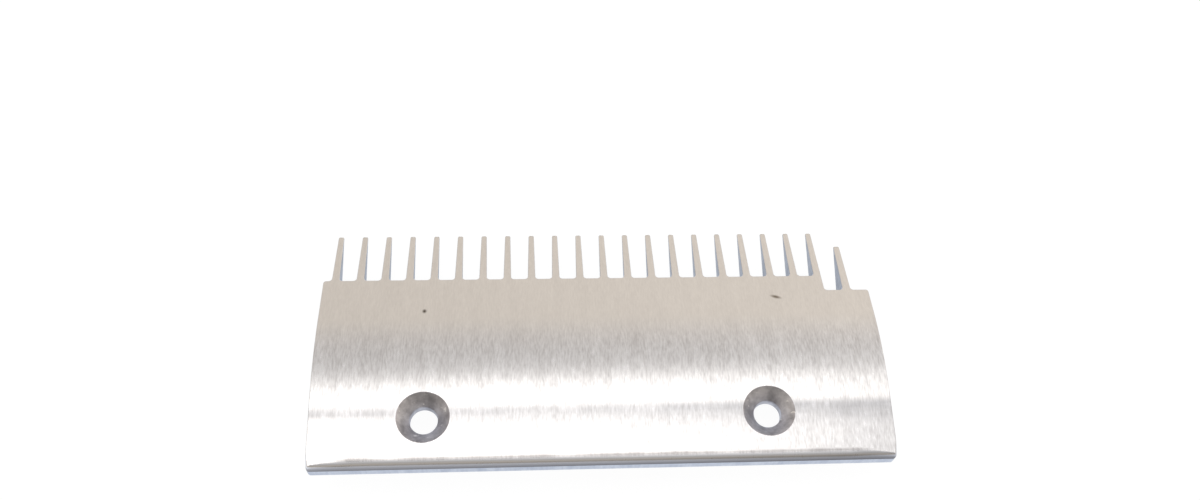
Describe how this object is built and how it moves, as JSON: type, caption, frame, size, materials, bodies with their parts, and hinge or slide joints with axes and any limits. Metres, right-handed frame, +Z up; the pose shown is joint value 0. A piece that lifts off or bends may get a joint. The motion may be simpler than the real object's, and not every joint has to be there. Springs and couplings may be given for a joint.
{
  "type": "escalator comb plate",
  "caption": "Cast comb segment with a sloping tread, a row of tapered teeth over deep fins, a set-back end tooth and countersunk screw holes in its flange.",
  "frame": {"origin": "midway between the two screw holes, on the seat face under the flange", "axes": "+X along the row of teeth to the end with the set-back tooth, +Y from the rear edge towards the tips, +Z up, square to the seat"},
  "size_m": [0.204, 0.097, 0.024],
  "materials": {
    "brushed_aluminium": "ground and brushed along the way the feet travel",
    "cast_aluminium": "as die-cast, mottled and scratched"
  },
  "bodies": {
    "root": {"mounting_flange": "brushed_aluminium", "tread_ramp": "brushed_aluminium", "heel_bar": "cast_aluminium", "tooth_01": "cast_aluminium", "tooth_02": "cast_aluminium", "tooth_03": "cast_aluminium", "tooth_04": "cast_aluminium", "tooth_05": "cast_aluminium", "tooth_06": "cast_aluminium", "tooth_07": "cast_aluminium", "tooth_08": "cast_aluminium", "tooth_09": "cast_aluminium", "tooth_10": "cast_aluminium", "tooth_11": "cast_aluminium", "tooth_12": "cast_aluminium", "tooth_13": "cast_aluminium", "tooth_14": "cast_aluminium", "tooth_15": "cast_aluminium", "tooth_16": "cast_aluminium", "tooth_17": "cast_aluminium", "tooth_18": "cast_aluminium", "tooth_19": "cast_aluminium", "tooth_20": "cast_aluminium", "tooth_21": "cast_aluminium", "tooth_22": "cast_aluminium"}
  },
  "joints": []
}
